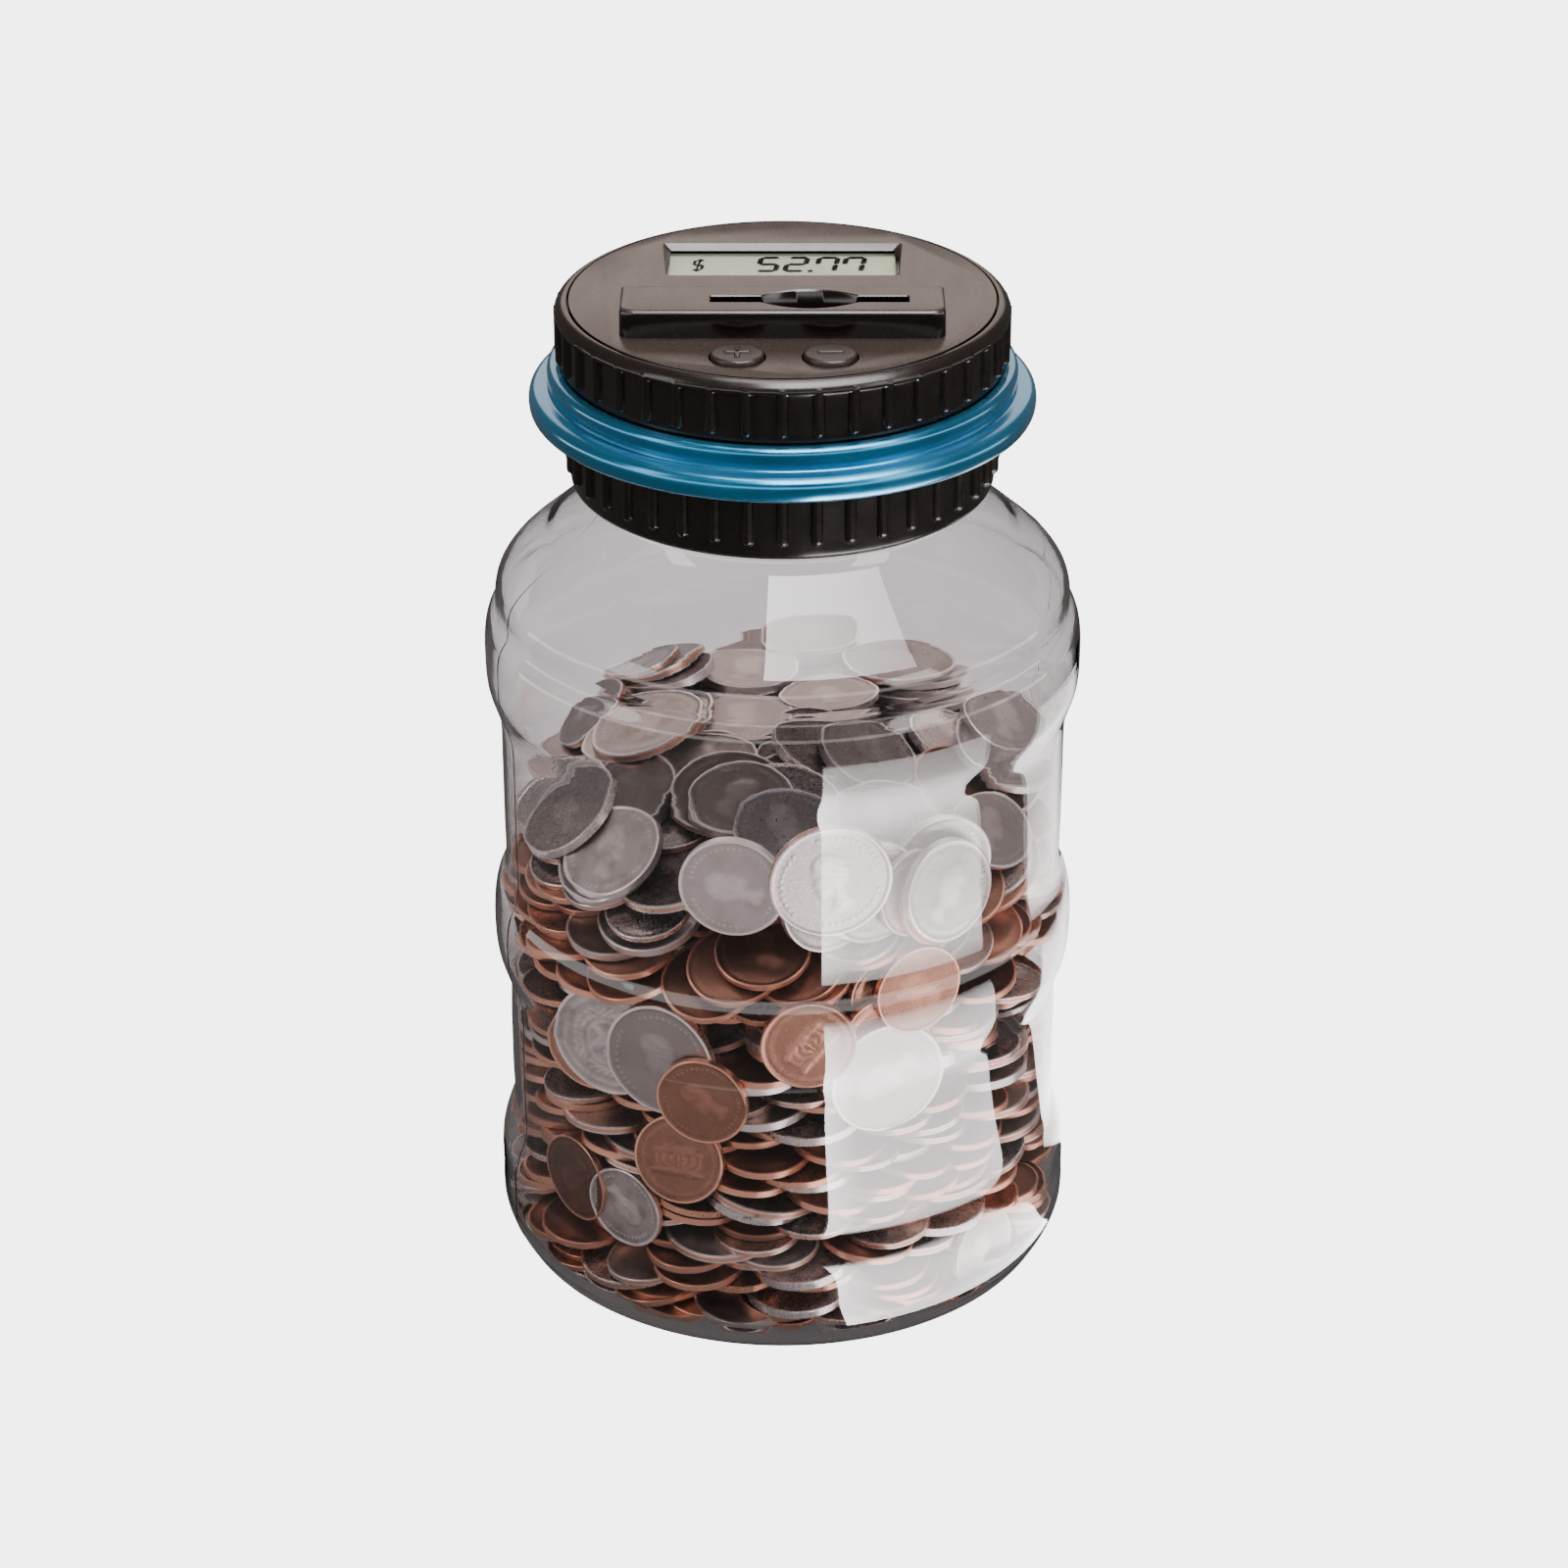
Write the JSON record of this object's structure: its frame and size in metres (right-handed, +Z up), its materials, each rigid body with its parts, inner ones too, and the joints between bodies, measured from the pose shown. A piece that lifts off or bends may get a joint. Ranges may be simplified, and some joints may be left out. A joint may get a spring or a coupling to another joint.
{
  "type": "digital coin counting jar",
  "caption": "Clear screw-top coin jar with a digital counting lid: display window, raised coin slot with finger scoop, push buttons and a slip-on coloured ring.",
  "frame": {"origin": "middle of the jar's base, on the surface it stands on", "axes": "+Z up the jar's axis; -Y is the front, where the lid's buttons are; +X is to the right seen from the front"},
  "size_m": [0.121, 0.121, 0.2146],
  "materials": {
    "clear_pet": "clear blow-moulded plastic, glossy",
    "ring_blue": "translucent blue, glossy",
    "cap_black": "black, semi-gloss",
    "cover_black": "black, satin",
    "button_black": "black, satin",
    "gasket_foam": "soft, matte",
    "lens_clear": "clear, polished",
    "lcd_glass": "grey-green reflective display",
    "zebra_rubber": "matte",
    "board_green": "solder-masked board",
    "chip_epoxy": "black epoxy",
    "switch_body": "matte",
    "chute_black": "matte",
    "lever_acetal": "off-white, low sheen",
    "steel": "zinc-plated",
    "nickel_plate": "nickel-plated",
    "cell_jacket": "printed jacket, plain",
    "tray_black": "matte"
  },
  "bodies": {
    "jar": {"jar_body": "clear_pet"},
    "ring": {"blue_ring": "ring_blue"},
    "cap": {"ribbed_cap": "cap_black", "sealing_gasket": "gasket_foam", "top_cover": "cover_black", "lcd_lens": "lens_clear", "lcd_panel": "lcd_glass", "zebra_strip": "zebra_rubber", "main_pcb": "board_green", "chip_blob": "chip_epoxy", "switch_plus": "switch_body", "switch_minus": "switch_body", "coin_chute": "chute_black", "lever_pin": "steel", "lever_spring": "steel", "sensor_board": "board_green", "inner_tray": "tray_black", "battery_1": "cell_jacket", "battery_2": "cell_jacket", "contact_bridge": "nickel_plate", "contact_plus": "nickel_plate", "contact_minus": "nickel_plate", "case_screw_1": "steel", "case_screw_2": "steel", "case_screw_3": "steel", "pcb_screw_1": "steel", "pcb_screw_2": "steel"},
    "button_plus": {"button_plus": "button_black"},
    "button_minus": {"button_minus": "button_black"},
    "lever": {"coin_lever": "lever_acetal"},
    "door": {"battery_door": "tray_black", "battery_door_screw": "steel"}
  },
  "joints": [
    {"name": "lid_lift", "type": "slide", "parent": "jar", "child": "ring", "axis": [0, 0, 1], "range_m": [0, 0.00625]},
    {"name": "lid_turn", "type": "hinge", "parent": "ring", "child": "cap", "pos_m": [0, 0, 0.18], "axis": [0, 0, 1], "range_deg": [0, 450]},
    {"name": "button_plus_press", "type": "slide", "parent": "cap", "child": "button_plus", "axis": [0, 0, -1], "range_m": [0, 0.0006], "stiffness_N_per_m": 200, "springref_m": -0.0005},
    {"name": "button_minus_press", "type": "slide", "parent": "cap", "child": "button_minus", "axis": [0, 0, -1], "range_m": [0, 0.0006], "stiffness_N_per_m": 200, "springref_m": -0.0005},
    {"name": "coin_lever_swing", "type": "hinge", "parent": "cap", "child": "lever", "pos_m": [0.0284, -0.0155, 0.2026], "axis": [0, -1, 0], "range_deg": [0, 36], "stiffness_Nm_per_rad": 0.001, "springref_deg": -20.05},
    {"name": "battery_door_drop", "type": "slide", "parent": "cap", "child": "door", "axis": [0, 0, -1], "range_m": [0, 0.03]}
  ],
  "couplings": [
    {"joint": "lid_turn", "follows": "lid_lift", "rad_per_m": 1256.6}
  ]
}
